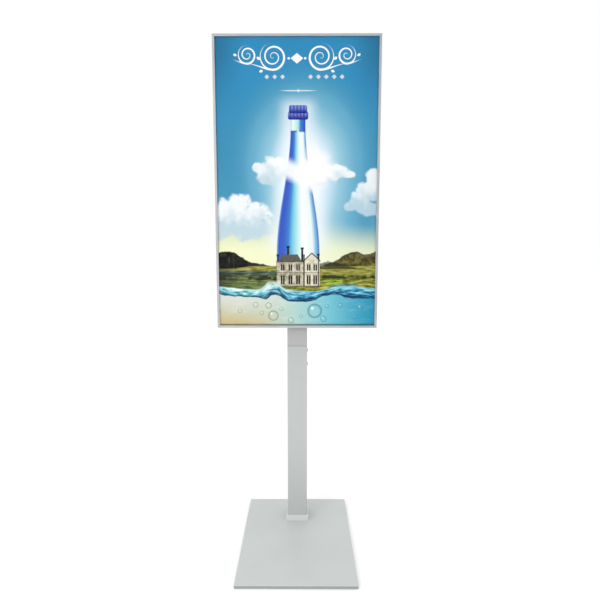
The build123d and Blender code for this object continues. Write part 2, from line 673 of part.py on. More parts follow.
snap_cover_top = make_snap_cover("top")
snap_cover_bottom = make_snap_cover("bottom")
snap_cover_left = make_snap_cover("left")
snap_cover_right = make_snap_cover("right")

# Bent leaf springs that stand on the rail's box and press the cover shut
SPRING_WIDTH = 14.0
SPRING_THICKNESS = 0.3
spring_positions = {"top": (-1, 1), "bottom": (-1, 1), "left": (-1, 0, 1), "right": (-1, 0, 1)}
spring_pitch = {"top": 130.0, "bottom": 130.0, "left": 290.0, "right": 290.0}


def spring_outline():
    """Side view of one leaf spring in the frame section, as a strip of even thickness."""
    foot_u = BOX_WIDTH
    half = SPRING_THICKNESS / 2
    right = [(foot_u + half, BOX_DEPTH), (foot_u + half, 8.6), (5.4, 9.9), (3.65, 11.35)]
    left = [(3.4, 11.15), (5.0, 9.9), (foot_u - half, 8.7), (foot_u - half, BOX_DEPTH)]
    return right + left


with BuildPart() as snap_springs:
    for side, steps in spring_positions.items():
        for step in steps:
            with BuildSketch(side_planes[side].offset(step * spring_pitch[side])):
                Polygon(*spring_outline(), align=None)
            extrude(amount=SPRING_WIDTH / 2, both=True)

# ---------------------------------------------------------------- export

pieces = {
    "foot_pads": foot_pads,
    "base_plate": base_plate,
    "post_foot_plug": post_foot_plug,
    "base_screws": base_screws,
    "post_collar": post_collar,
    "lower_post": lower_post,
    "clamp_nut_plate": clamp_nut_plate,
    "glide_bush": glide_bush,
    "clamp_screw_lower": clamp_screw_lower,
    "clamp_screw_upper": clamp_screw_upper,
    "upper_post": upper_post,
    "post_top_cap": post_top_cap,
    "spigot_tube": spigot_tube,
    "spigot_spacer": spigot_spacer,
    "spigot_glide": spigot_glide,
    "spigot_screws": spigot_screws,
    "spigot_nuts": spigot_nuts,
    "crossbar_lower": crossbar_lower,
    "crossbar_upper": crossbar_upper,
    "crossbar_caps": crossbar_caps,
    "rail_bolts": rail_bolts,
    "rail_washers": rail_washers,
    "rail_nuts": rail_nuts,
    "frame_screws": frame_screws,
    "frame_rail_top": frame_rail_top,
    "frame_rail_bottom": frame_rail_bottom,
    "frame_rail_left": frame_rail_left,
    "frame_rail_right": frame_rail_right,
    "corner_keys": corner_keys,
    "backboard": backboard,
    "poster": poster,
    "clear_cover": clear_cover,
    "snap_springs": snap_springs,
    "snap_cover_top": snap_cover_top,
    "snap_cover_bottom": snap_cover_bottom,
    "snap_cover_left": snap_cover_left,
    "snap_cover_right": snap_cover_right,
}

os.makedirs("parts", exist_ok=True)
for name, piece in pieces.items():
    piece.part.label = name
    export_step(piece.part, f"parts/{name}.step")
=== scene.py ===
from math import pi, radians

import bpy
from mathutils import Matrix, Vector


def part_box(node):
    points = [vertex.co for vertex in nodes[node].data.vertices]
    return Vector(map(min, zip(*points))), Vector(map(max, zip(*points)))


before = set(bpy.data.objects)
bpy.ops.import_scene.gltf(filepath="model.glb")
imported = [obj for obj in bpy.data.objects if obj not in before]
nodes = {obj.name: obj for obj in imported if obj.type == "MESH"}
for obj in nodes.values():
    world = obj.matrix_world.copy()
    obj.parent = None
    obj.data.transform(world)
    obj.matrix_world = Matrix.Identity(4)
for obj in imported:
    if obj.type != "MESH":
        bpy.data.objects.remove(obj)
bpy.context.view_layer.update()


# ---------------------------------------------------------------- shader node helpers


def srgb(red, green, blue):
    """Linear RGBA colour from 0 to 255 sRGB values."""
    linear = []
    for value in (red, green, blue):
        value = value / 255
        linear.append(value / 12.92 if value <= 0.04045 else ((value + 0.055) / 1.055) ** 2.4)
    return (*linear, 1.0)


class Value:
    """A number that a shader works out at each point. Arithmetic on it adds Math nodes."""

    def __init__(self, graph, socket):
        self.graph = graph
        self.socket = socket

    def __add__(self, other):
        return self.graph.math("ADD", self, other)

    def __radd__(self, other):
        return self.graph.math("ADD", other, self)

    def __sub__(self, other):
        return self.graph.math("SUBTRACT", self, other)

    def __rsub__(self, other):
        return self.graph.math("SUBTRACT", other, self)

    def __mul__(self, other):
        return self.graph.math("MULTIPLY", self, other)

    def __rmul__(self, other):
        return self.graph.math("MULTIPLY", other, self)

    def __truediv__(self, other):
        return self.graph.math("DIVIDE", self, other)


class Graph:
    """The node tree of one new material, with a method for each kind of node used here."""

    def __init__(self, name):
        self.material = bpy.data.materials.new(name)
        self.material.use_nodes = True
        self.tree = self.material.node_tree
        self.shader = self.tree.nodes["Principled BSDF"]
        self.coordinates = self.tree.nodes.new("ShaderNodeTexCoord").outputs["Object"]

    def put(self, socket, value):
        """Link a value to an input, or set the input to a plain number or colour."""
        if isinstance(value, Value):
            self.tree.links.new(value.socket, socket)
        else:
            socket.default_value = value

    def math(self, operation, *values):
        node = self.tree.nodes.new("ShaderNodeMath")
        node.operation = operation
        for socket, value in zip(node.inputs, values):
            self.put(socket, value)
        return Value(self, node.outputs[0])

    def minimum(self, *values):
        result = values[0]
        for value in values[1:]:
            result = self.math("MINIMUM", result, value)
        return result

    def maximum(self, *values):
        result = values[0]
        for value in values[1:]:
            result = self.math("MAXIMUM", result, value)
        return result

    def absolute(self, value):
        return self.math("ABSOLUTE", value)

    def axes(self):
        """The x, y and z of the point, in metres."""
        node = self.tree.nodes.new("ShaderNodeSeparateXYZ")
        self.tree.links.new(self.coordinates, node.inputs[0])
        return [Value(self, output) for output in node.outputs]

    def vector(self, x, y, z):
        node = self.tree.nodes.new("ShaderNodeCombineXYZ")
        for socket, value in zip(node.inputs, (x, y, z)):
            self.put(socket, value)
        return Value(self, node.outputs[0])

    def stretched(self, x, y, z):
        """The point's coordinates, each multiplied by its own factor."""
        node = self.tree.nodes.new("ShaderNodeMapping")
        self.tree.links.new(self.coordinates, node.inputs["Vector"])
        node.inputs["Scale"].default_value = (x, y, z)
        return Value(self, node.outputs[0])

    def smooth(self, start, end, value):
        """0 before start, 1 after end and a smooth step between them."""
        node = self.tree.nodes.new("ShaderNodeMapRange")
        node.interpolation_type = "SMOOTHSTEP"
        self.put(node.inputs["Value"], value)
        self.put(node.inputs["From Min"], start)
        self.put(node.inputs["From Max"], end)
        return Value(self, node.outputs["Result"])

    def noise(self, scale, detail=2.0, roughness=0.5, vector=None):
        node = self.tree.nodes.new("ShaderNodeTexNoise")
        source = self.coordinates if vector is None else vector.socket
        self.tree.links.new(source, node.inputs["Vector"])
        node.inputs["Scale"].default_value = scale
        node.inputs["Detail"].default_value = detail
        node.inputs["Roughness"].default_value = roughness
        return Value(self, node.outputs["Fac"])

    def curve(self, value, start, end, points):
        """A smooth line through a few (input, output) points, with inputs from start to end."""
        node = self.tree.nodes.new("ShaderNodeFloatCurve")
        line = node.mapping.curves[0]
        low = min(height for _, height in points)
        high = max(height for _, height in points)
        scaled = []
        for place, height in points:
            scaled.append(((place - start) / (end - start), (height - low) / (high - low)))
        while len(line.points) < len(scaled):
            line.points.new(0.5, 0.5)
        for point, place in zip(line.points, scaled):
            point.location = place
        node.mapping.update()
        self.put(node.inputs["Value"], (value - start) / (end - start))
        return Value(self, node.outputs[0]) * (high - low) + low

    def ramp(self, value, stops):
        """A colour ramp through (place, colour) stops, with places from 0 to 1."""
        node = self.tree.nodes.new("ShaderNodeValToRGB")
        elements = node.color_ramp.elements
        while len(elements) < len(stops):
            elements.new(1.0)
        for element, (place, colour) in zip(elements, stops):
            element.position = place
            element.color = colour
        self.put(node.inputs["Fac"], value)
        return Value(self, node.outputs["Color"])

    def mix(self, share, under, over, blend="MIX"):
        """Two colours mixed, or blended another way, by a share."""
        node = self.tree.nodes.new("ShaderNodeMix")
        node.data_type = "RGBA"
        node.blend_type = blend
        self.put(node.inputs[0], share)
        self.put(node.inputs[6], under)
        self.put(node.inputs[7], over)
        return Value(self, node.outputs[2])

    def bump(self, height, strength, distance):
        node = self.tree.nodes.new("ShaderNodeBump")
        node.inputs["Strength"].default_value = strength
        node.inputs["Distance"].default_value = distance
        self.put(node.inputs["Height"], height)
        self.tree.links.new(node.outputs[0], self.shader.inputs["Normal"])

    def finish(self, **settings):
        """Set the shader's inputs, such as base_color, and return the material."""
        for name, value in settings.items():
            self.put(self.shader.inputs[name.replace("_", " ").title().replace("Ior", "IOR")], value)
        return self.material


# ---------------------------------------------------------------- plain materials


def powder_coat(name, colour, shade, shaded_edge_height=None):
    """Satin powder coat: orange peel, a fine grain and a faint unevenness.

    Below the given edge height, in metres, it is darker: painted shade on the plate's low edge, where less
    light falls.
    """
    graph = Graph(name)
    cloudy = graph.noise(6.0, detail=3.0)
    tone = graph.mix(graph.smooth(0.35, 0.65, cloudy), colour, shade)
    grains = graph.smooth(0.5, 0.75, graph.noise(1600.0, detail=1.0))
    tone = graph.mix(grains * 0.06, tone, srgb(120, 122, 121))
    if shaded_edge_height:
        # Painted shade: the plate's low edge is darkened, standing in for the shade it gets near the floor
        _, _, z = graph.axes()
        edge = graph.smooth(shaded_edge_height + 0.001, shaded_edge_height - 0.0005, z)
        tone = graph.mix(edge * 0.43, tone, srgb(20, 20, 20))
    peel = graph.noise(900.0, detail=1.0)
    roughness = graph.smooth(0.2, 0.8, graph.noise(220.0)) * 0.08 + 0.42
    graph.bump(peel, 0.4, 0.0005)
    return graph.finish(base_color=tone, roughness=roughness)


def brushed_metal(name, colour, shade, stretch, metallic=0.9, rough=0.34):
    """Satin metal with fine lines along the direction that stretch leaves short."""
    graph = Graph(name)
    lines = graph.noise(1.0, detail=2.0, vector=graph.stretched(*stretch))
    tone = graph.mix(graph.smooth(0.3, 0.7, lines), colour, shade)
    roughness = lines * 0.12 + rough
    graph.bump(lines, 0.08, 0.0003)
    return graph.finish(base_color=tone, roughness=roughness, metallic=metallic)


def plated_steel(name):
    """Zinc plated fastener: bright, with soft patches."""
    graph = Graph(name)
    patches = graph.noise(450.0, detail=2.0)
    tone = graph.mix(graph.smooth(0.3, 0.7, patches), srgb(205, 207, 208), srgb(180, 183, 186))
    return graph.finish(base_color=tone, roughness=patches * 0.2 + 0.22, metallic=0.95)


def moulded_plastic(name, colour, shade):
    """Fine-grained moulded plastic."""
    graph = Graph(name)
    grain = graph.noise(1400.0, detail=1.0)
    tone = graph.mix(graph.noise(40.0), colour, shade)
    graph.bump(grain, 0.25, 0.0002)
    return graph.finish(base_color=tone, roughness=grain * 0.1 + 0.5)


def foam_board(name):
    """White rigid foam board for the panel's back."""
    graph = Graph(name)
    cells = graph.noise(1100.0, detail=2.0)
    tone = graph.mix(graph.noise(9.0, detail=3.0), srgb(208, 208, 205), srgb(197, 198, 195))
    graph.bump(cells, 0.2, 0.0003)
    return graph.finish(base_color=tone, roughness=cells * 0.1 + 0.62)


def clear_sheet(name):
    """Clear sheet that shows the poster and keeps a thin gloss."""
    graph = Graph(name)
    smear = graph.noise(14.0, detail=2.0)
    return graph.finish(
        base_color=srgb(30, 36, 38), roughness=smear * 0.04 + 0.05, ior=1.9, alpha=0.08
    )


# ---------------------------------------------------------------- the poster's picture

# All places in the picture are in millimetres: x from its middle, z up from its lower edge
MM_PER_METRE = 1000.0
SHEET_MARGIN = 4.4
PICTURE_WIDTH = 450.0
PICTURE_HEIGHT = 802.0
CURVE_REACH = 230.0

# Where the parts of the picture are
GLOW_X = 22.0
GLOW_Z = 462.0
SUN_X = 54.0
SUN_Z = 450.0
BOTTLE_X = 3.0
NECK_LINE_Z = 552.0
GLASS_TOP_Z = 585.0
GROUND_Z = 113.0
EAVES_Z = 186.0
BLOCK_LEFT = -60.0
WING_MIDDLE = 43.0
WING_RIGHT = 66.0
SCROLL_Z = 748.0
LOZENGE_Z = 699.0
RULE_X = 4.0
RULE_Z = 662.0

WHITE = srgb(254, 255, 255)
SUN_WHITE = srgb(255, 255, 255)
GLARE = srgb(252, 253, 255)
HALO = srgb(247, 251, 254)
CLOUD_SHADE = srgb(192, 216, 228)
CLOUD_LIGHT = srgb(252, 254, 254)
DARK_STONE = srgb(34, 30, 22)
TRIM = srgb(44, 38, 26)
HEDGE = srgb(22, 28, 14)
TREES = srgb(36, 38, 18)
SAND = srgb(204, 184, 124)
DEEP_BLUE = srgb(16, 64, 96)
FOAM = srgb(226, 236, 214)


def distance(graph, across, up):
    """Length of the offset (across, up)."""
    return graph.math("SQRT", across * across + up * up)


def picture_curve(graph, x, points):
    """Height of a smooth line across the whole picture, through (x, height) points."""
    return graph.curve(x, -CURVE_REACH, CURVE_REACH, points)


def box_mask(graph, x, z, left, right, bottom, top):
    """1 inside a rectangle of the picture, with edges about a millimetre soft."""
    across = graph.absolute(x - (left + right) / 2) - (right - left) / 2
    up = graph.absolute(z - (bottom + top) / 2) - (top - bottom) / 2
    return graph.smooth(0.6, -0.6, graph.maximum(across, up))


def sky(graph, x, z):
    """Blue sky, a glow round the middle of the picture and a pale horizon."""
    clear = graph.ramp(
        z / PICTURE_HEIGHT,
        [
            (0.3, srgb(112, 174, 186)),
            (0.45, srgb(70, 151, 184)),
            (0.62, srgb(58, 143, 182)),
            (0.85, srgb(46, 142, 190)),
            (1.0, srgb(42, 138, 186)),
        ],
    )
    corners = graph.smooth(130.0, 235.0, graph.absolute(x)) * graph.smooth(560.0, 790.0, z)
    clear = graph.mix(corners * 0.65, clear, srgb(30, 96, 132))
    across = x - GLOW_X
    above = z - GLOW_Z
    rise = graph.maximum(above, 0.0) * 0.8 + graph.minimum(above, 0.0) * 0.38
    reach = distance(graph, across, rise)
    glow = graph.ramp(
        reach / 240.0,
        [
            (0.0, srgb(255, 255, 255)),
            (0.19, srgb(236, 246, 250)),
            (0.29, srgb(206, 230, 244)),
            (0.42, srgb(150, 202, 220)),
            (0.58, srgb(108, 176, 205)),
            (0.75, srgb(80, 157, 192)),
            (0.92, srgb(62, 147, 186)),
        ],
    )
    picture = graph.mix(graph.smooth(245.0, 150.0, reach), clear, glow)
    cream = graph.ramp(
        x / PICTURE_WIDTH + 0.5,
        [(0.0, srgb(244, 246, 198)), (0.6, srgb(244, 248, 216)), (1.0, srgb(222, 231, 196))],
    )
    start = 338.0 - x * 0.2
    horizon = graph.smooth(0.0, 1.0, (start - z) / (start - 205.0))
    return graph.mix(horizon, picture, cream)


def cloud_bank(graph, x, z, blobs):
    """The highest of several round puffs, each 1 at its centre and 0 at its radius."""
    puffs = []
    for centre_x, centre_z, half_width, half_height in blobs:
        across = (x - float(centre_x)) / float(half_width)
        up = (z - float(centre_z)) / float(half_height)
        puffs.append(1.0 - distance(graph, across, up))
    return graph.maximum(*puffs)


def clouds(graph, x, z, puffs, picture):
    """Four banks of cloud, bright above and pale blue below."""
    banks = [
        # left of the bottle: (x, z, half width, half height) of each puff, middle height, strength
        ([(-112, 452, 24, 16), (-66, 452, 44, 36), (-26, 446, 34, 34), (-74, 424, 46, 24)], 452.0, 0.95),
        # right of the bottle
        ([(66, 434, 62, 36), (112, 440, 44, 24), (142, 434, 26, 12)], 438.0, 0.95),
        # right edge
        (
            [(220, 424, 32, 30), (222, 388, 48, 46), (190, 392, 26, 26), (176, 362, 34, 28),
             (154, 342, 20, 15), (206, 338, 50, 26)],
            384.0,
            0.85,
        ),
        # low on the left
        (
            [(-206, 330, 44, 42), (-170, 344, 48, 38), (-122, 322, 50, 40), (-196, 292, 76, 50),
             (-130, 286, 64, 46)],
            322.0,
            0.9,
        ),
    ]
    for blobs, middle, strength in banks:
        body = cloud_bank(graph, x, z, blobs) + (puffs - 0.5) * 1.25
        light = graph.smooth(-45.0, 25.0, z - middle + (puffs - 0.5) * 90.0)
        shaded = graph.mix(light, CLOUD_SHADE, CLOUD_LIGHT)
        picture = graph.mix(graph.smooth(0.02, 0.34, body) * strength, picture, shaded)
    return picture


def sunburst(graph, x, z, picture):
    """White sun in front of the bottle's right side, with short soft rays."""
    across = x - SUN_X
    up = (z - SUN_Z) * 0.9
    reach = distance(graph, across, up)
    turn = graph.math("ARCTAN2", up, across)
    broad_rays = graph.absolute(graph.math("SINE", turn * 5.0 + 0.5)) * 8.0
    fine_rays = graph.math("SINE", turn * 13.0) * 3.0
    core = graph.smooth(59.0, 13.0, reach - (broad_rays + fine_rays))
    return graph.mix(core, picture, SUN_WHITE)


def hills(graph, x, z, texture, streaks, picture):
    """Dark slope on the left, a brown one on the right, and fields in front of them."""
    left = picture_curve(
        graph, x,
        [(-230, 211), (-200, 214), (-165, 200), (-132, 183), (-100, 178), (-72, 170), (-50, 156), (230, 150)],
    )
    right = picture_curve(
        graph, x,
        [(-230, 150), (50, 158), (84, 178), (112, 188), (142, 206), (172, 214), (198, 206), (230, 224)],
    )
    rough = (texture - 0.5) * 9.0
    mottled = graph.smooth(0.3, 0.72, texture)
    left_slope = graph.ramp(
        mottled,
        [(0.0, srgb(2, 2, 2)), (0.6, srgb(14, 15, 10)), (1.0, srgb(62, 62, 42))],
    )
    right_slope = graph.ramp(
        mottled,
        [(0.0, srgb(40, 36, 14)), (0.5, srgb(88, 80, 28)), (1.0, srgb(138, 128, 68))],
    )
    far = graph.smooth(-160.0, -80.0, x)
    left_slope = graph.mix(far * 0.16, left_slope, srgb(120, 120, 84))
    ridge = graph.smooth(-24.0, 0.0, z - right + (texture - 0.5) * 30.0)
    right_slope = graph.mix(ridge * 0.5, right_slope, srgb(78, 72, 56))
    picture = graph.mix(graph.smooth(-1.2, 1.2, left + rough - z), picture, left_slope)
    picture = graph.mix(graph.smooth(-1.2, 1.2, right + rough - z), picture, right_slope)
    # Fields: a pale strip, a misty one on the left, and the near grass
    bands = graph.smooth(0.3, 0.7, streaks)
    field = graph.ramp(
        bands,
        [(0.0, srgb(98, 100, 34)), (0.5, srgb(148, 146, 60)), (1.0, srgb(184, 180, 106))],
    )
    mist = graph.ramp(
        bands,
        [(0.0, srgb(34, 46, 34)), (0.6, srgb(72, 92, 74)), (1.0, srgb(118, 134, 114))],
    )
    grass = graph.ramp(
        bands,
        [
            (0.0, srgb(50, 60, 16)),
            (0.35, srgb(114, 122, 28)),
            (0.7, srgb(156, 160, 56)),
            (1.0, srgb(196, 200, 112)),
        ],
    )
    slope = graph.smooth(-200.0, -120.0, x) * 8.0
    picture = graph.mix(graph.smooth(-1.5, 1.5, 164.0 + slope + rough * 0.5 - z), picture, field)
    tree_tops = 186.0 - graph.absolute(x - 92.0) * 0.22 + rough * 2.2
    trees = graph.smooth(-1.0, 1.0, tree_tops - z) * box_mask(graph, x, z, 66.0, 172.0, 163.0, 196.0)
    picture = graph.mix(trees * 0.8, picture, TREES)
    left_half = graph.smooth(-20.0, -60.0, x)
    picture = graph.mix(graph.smooth(-1.5, 1.5, 158.0 + rough - z) * left_half, picture, mist)
    grass = graph.mix(left_half * 0.45, grass, srgb(52, 98, 84))
    picture = graph.mix(graph.smooth(-2.0, 2.0, 143.0 + rough - z), picture, grass)
    bright_patch = box_mask(graph, x, z, 82.0, 132.0, 122.0, 134.0) * bands
    picture = graph.mix(bright_patch, picture, srgb(150, 196, 44))
    near_shore = graph.smooth(-140.0, -225.0, x) * graph.smooth(170.0, 146.0, z)
    picture = graph.mix(near_shore * 0.7, picture, srgb(26, 34, 34))
    hedge_height = graph.smooth(60.0, -60.0, x) * -3.0 + 140.0
    gaps = graph.smooth(0.4, 0.52, graph.noise(22.0))
    hedge = graph.smooth(8.0, 3.0, graph.absolute(z - hedge_height + rough * 1.4)) * gaps
    return graph.mix(hedge * 0.9, picture, HEDGE)


def bottle(graph, x, z, picture):
    """A plain tall glass bottle with a ribbed cap."""
    shoulder = graph.smooth(565.0, 205.0, z)
    half_width = shoulder * 41.0 + 21.0
    place = (x - BOTTLE_X) / half_width
    edge = graph.absolute(place)
    halo_height = graph.smooth(190.0, 250.0, z) * graph.smooth(660.0, 610.0, z)
    beside = graph.maximum(graph.absolute(x - BOTTLE_X) - half_width, 0.0)
    halo = graph.math("POWER", graph.smooth(64.0, 0.0, beside), 2.0) * halo_height
    picture = graph.mix(halo * 0.62, picture, HALO)
    glass = graph.ramp(
        place * 0.5 + 0.5,
        [
            (0.0, srgb(120, 160, 228)),
            (0.05, srgb(52, 86, 194)),
            (0.16, srgb(58, 96, 200)),
            (0.27, srgb(66, 130, 208)),
            (0.37, srgb(122, 206, 230)),
            (0.48, srgb(188, 234, 235)),
            (0.62, srgb(252, 254, 253)),
            (0.84, srgb(232, 248, 246)),
            (0.92, srgb(128, 188, 222)),
            (1.0, srgb(58, 104, 200)),
        ],
    )
    # The neck is lit from the other side, above a dark line
    neck = graph.ramp(
        place * 0.5 + 0.5,
        [
            (0.0, srgb(180, 206, 226)),
            (0.14, srgb(236, 250, 240)),
            (0.5, srgb(176, 232, 226)),
            (0.66, srgb(50, 128, 206)),
            (1.0, srgb(36, 72, 196)),
        ],
    )
    glass = graph.mix(graph.smooth(NECK_LINE_Z, NECK_LINE_Z + 2.0, z), glass, neck)
    line = graph.smooth(3.0, 1.6, graph.absolute(z - NECK_LINE_Z)) * graph.smooth(0.1, 0.2, edge)
    glass = graph.mix(line * 0.7, glass, srgb(40, 60, 176))
    flare = graph.smooth(40.0, 12.0, graph.absolute(z - 436.0 + x * 0.5))
    glass = graph.mix(flare * 0.92, glass, GLARE)
    below_cap = graph.smooth(GLASS_TOP_Z + 1.0, GLASS_TOP_Z - 1.0, z)
    picture = graph.mix(graph.smooth(1.03, 0.97, edge) * below_cap, picture, glass)
    # Cap: two rounded tiers with upright ribs
    ribs = graph.math("SINE", (x - BOTTLE_X) * 0.66) * 0.5 + 0.5
    for centre_z, half_height, half_span in ((595.0, 6.0, 23.5), (612.0, 6.0, 20.5)):
        across = graph.maximum(graph.absolute(x - BOTTLE_X) - half_span, 0.0)
        up = graph.maximum(graph.absolute(z - centre_z) - half_height, 0.0)
        tier = graph.smooth(5.8, 4.6, distance(graph, across, up))
        shine = graph.smooth(-10.0, 8.0, z - centre_z) * (ribs * 0.7 + 0.3)
        picture = graph.mix(tier, picture, graph.mix(shine, srgb(24, 36, 138), srgb(124, 146, 222)))
    return picture


def house(graph, x, z, texture, picture):
    """A plain two-storey stone country house."""
    stone = graph.mix(graph.smooth(0.3, 0.7, texture), srgb(150, 142, 116), srgb(228, 222, 202))
    slate = graph.mix(texture, srgb(58, 56, 50), srgb(122, 118, 106))
    # Chimneys, each a stack with a wider pot
    chimneys = ((-26.0, 3.0, 230.0), (15.0, 3.0, 226.0), (-56.0, 2.4, 206.0), (62.0, 2.4, 208.0))
    for centre, half, top in chimneys:
        stack = box_mask(graph, x, z, centre - half, centre + half, EAVES_Z - 2.0, top)
        picture = graph.mix(stack, picture, DARK_STONE)
        pot = box_mask(graph, x, z, centre - half - 1.5, centre + half + 1.5, top - 5.0, top)
        picture = graph.mix(pot, picture, DARK_STONE)
    # Roof with sloping ends, main block and a gabled wing
    run = 34.0 - graph.absolute(x + 20.0)
    under_slope = graph.smooth(-0.6, 0.6, EAVES_Z + run * 1.6 - z)
    roof = under_slope * box_mask(graph, x, z, BLOCK_LEFT, 22.0, EAVES_Z - 2.0, 206.0)
    picture = graph.mix(roof, picture, slate)
    picture = graph.mix(box_mask(graph, x, z, BLOCK_LEFT, 22.0, GROUND_Z, EAVES_Z), picture, stone)
    gable_height = 210.0 - graph.absolute(x - WING_MIDDLE) * 0.95
    under_gable = graph.smooth(-0.6, 0.6, gable_height - z)
    wing = box_mask(graph, x, z, 20.0, WING_RIGHT, GROUND_Z, 212.0) * under_gable
    picture = graph.mix(wing, picture, graph.mix(0.45, stone, srgb(248, 242, 218)))
    gable_line = graph.smooth(2.6, 1.4, graph.absolute(gable_height - z))
    verge = gable_line * box_mask(graph, x, z, 18.0, WING_RIGHT + 2.0, EAVES_Z - 2.0, 214.0)
    picture = graph.mix(verge, picture, DARK_STONE)
    # Windows on two floors: tall ones below and shorter ones above, each with a bar and a hood
    floors = ((119.0, 145.0, 5.6), (159.0, 177.0, 5.2))
    for first, count, pitch in ((-42.0, 3, 22.5), (34.0, 2, 19.0)):
        for column in range(count):
            centre = first + column * pitch
            for bottom, top, half in floors:
                glazing = box_mask(graph, x, z, centre - half, centre + half, bottom, top)
                bar = graph.smooth(0.2, 1.5, graph.absolute(x - centre))
                picture = graph.mix(glazing * bar, picture, srgb(26, 22, 18))
                hood_half = half + 1.2
                hood = box_mask(graph, x, z, centre - hood_half, centre + hood_half, top + 1.0, top + 3.0)
                picture = graph.mix(hood * 0.5, picture, srgb(60, 52, 38))
    trims = (
        # dark corners
        (BLOCK_LEFT - 1.0, BLOCK_LEFT + 1.5, GROUND_Z, EAVES_Z, 0.5),
        (18.0, 22.5, GROUND_Z, 206.0, 0.9),
        (60.5, 64.5, GROUND_Z, 200.0, 0.85),
        # the storey line, the shade under the eaves and the foot of the walls
        (BLOCK_LEFT, WING_RIGHT, 151.5, 154.0, 0.55),
        (BLOCK_LEFT, 20.0, EAVES_Z - 3.0, EAVES_Z + 1.0, 0.75),
        (BLOCK_LEFT, WING_RIGHT, GROUND_Z - 2.0, GROUND_Z + 2.0, 0.6),
    )
    for left, right, bottom, top, share in trims:
        trim = box_mask(graph, x, z, left, right, bottom, top)
        picture = graph.mix(trim * share, picture, TRIM)
    return picture


def water(graph, x, z, picture):
    """A wavy surface seen from the side, over water that turns from sand to turquoise."""
    churn = graph.noise(45.0, detail=3.0, roughness=0.55) - 0.5
    top_line = picture_curve(
        graph, x,
        [(-230, 112), (-180, 107), (-125, 103), (-95, 112), (-70, 124), (-46, 113),
         (-20, 102), (40, 99), (90, 105), (138, 113), (190, 109), (230, 106)],
    )
    bottom_line = picture_curve(
        graph, x,
        [(-230, 92), (-180, 83), (-125, 81), (-94, 75), (-70, 87), (-40, 76),
         (0, 67), (40, 69), (80, 85), (120, 88), (142, 79), (230, 76)],
    )
    top = top_line + churn * 7.0
    bottom = bottom_line + churn * 8.0
    deep = graph.ramp(
        x / PICTURE_WIDTH + 0.5,
        [
            (0.0, srgb(208, 206, 176)),
            (0.3, srgb(204, 214, 196)),
            (0.5, srgb(176, 214, 208)),
            (0.7, srgb(122, 198, 212)),
            (0.88, srgb(66, 166, 194)),
            (1.0, srgb(34, 146, 180)),
        ],
    )
    pale = graph.smooth(30.0, 82.0, z) * graph.smooth(60.0, -180.0, x)
    sand = graph.smooth(50.0, 0.0, z) * graph.smooth(10.0, -170.0, x)
    deep = graph.mix(pale * 0.7, deep, srgb(222, 228, 224))
    deep = graph.mix(sand * 0.75, deep, SAND)
    ripples = graph.noise(1.0, detail=3.0, roughness=0.6, vector=graph.stretched(14.0, 1.0, 60.0))
    deep = graph.mix(graph.smooth(0.5, 0.8, ripples) * 0.22, deep, srgb(240, 250, 244))
    spray_span = graph.smooth(70.0, 120.0, x) * graph.smooth(200.0, 160.0, x)
    spray = graph.smooth(12.0, 0.0, z - top) * spray_span
    picture = graph.mix(spray * 0.6, picture, srgb(56, 146, 188))
    under = graph.smooth(-0.8, 0.8, top - z)
    picture = graph.mix(under, picture, deep)
    # The surface band: streaks that follow its slope, darkest along its lower edge
    depth = (z - bottom) / (top - bottom)
    drift = graph.vector(x * 0.022, 0.0, depth * 1.5 + (z - top_line) * 0.06)
    flow = graph.noise(1.4, detail=3.0, roughness=0.6, vector=drift)
    left_band = [
        (0.0, srgb(30, 98, 122)),
        (0.3, srgb(100, 182, 198)),
        (0.6, srgb(150, 220, 228)),
        (1.0, srgb(238, 251, 248)),
    ]
    right_band = [
        (0.0, srgb(10, 44, 86)),
        (0.35, srgb(30, 114, 154)),
        (0.65, srgb(66, 170, 206)),
        (1.0, srgb(160, 222, 232)),
    ]
    streak = graph.smooth(0.32, 0.7, flow + (depth - 0.5) * 0.3)
    side = graph.smooth(-140.0, 30.0, x)
    band = graph.mix(side, graph.ramp(streak, left_band), graph.ramp(streak, right_band))
    band = graph.mix(graph.smooth(0.3, 0.0, depth) * 0.6, band, DEEP_BLUE)
    picture = graph.mix(under * graph.smooth(-1.2, 1.2, z - bottom), picture, band)
    near_crest = graph.smooth(52.0, 8.0, graph.absolute(x + 72.0))
    foam = near_crest * graph.smooth(9.0, 1.0, graph.absolute(z - top + 2.0))
    picture = graph.mix(foam * graph.smooth(0.3, 0.6, flow), picture, FOAM)
    crest = graph.smooth(1.8, 0.4, graph.absolute(z - top + 1.0))
    picture = graph.mix(crest * 0.55, picture, srgb(150, 204, 206))
    # Air bubbles: a pale disc with a darker rim and a bright spot
    bubbles = [
        (-168, 40, 6), (-122, 58, 8), (-104, 34, 6), (-84, 56, 9), (-70, 26, 15), (-46, 46, 6), (-18, 12, 9),
        (12, 24, 5), (52, 40, 21), (78, 16, 9), (88, 54, 6), (128, 56, 7), (170, 22, 5), (186, 50, 8),
    ]
    for centre_x, centre_z, radius in bubbles:
        across = x - float(centre_x)
        up = z - float(centre_z)
        reach = distance(graph, across, up) / float(radius)
        rim = graph.smooth(0.6, 0.95, reach) * graph.smooth(1.1, 0.97, reach)
        tint = srgb(44, 138, 156) if centre_x > 0 else srgb(124, 140, 120)
        picture = graph.mix(rim * 0.7, picture, tint)
        from_glint = distance(graph, across + 0.35 * radius, up - 0.4 * radius)
        glint = graph.smooth(0.32 * radius, 0.1 * radius, from_glint)
        picture = graph.mix(glint * 0.8, picture, srgb(246, 254, 252))
    return picture


def scroll(graph, side, z, centre_x, centre_z, outer, pitch, thickness):
    """0 or less on a spiral that opens outwards and ends at the lowest point of its outer turn."""
    across = side - centre_x
    up = z - centre_z
    reach = distance(graph, across, up)
    turns = graph.math("ARCTAN2", up, across) / (2.0 * pi)
    phase = reach / pitch - turns + (40.25 - outer / pitch)
    wrapped = graph.math("FRACT", phase)
    line = graph.absolute(wrapped - 0.5) * pitch - thickness * (reach / outer)
    return graph.maximum(line, reach - outer - thickness)


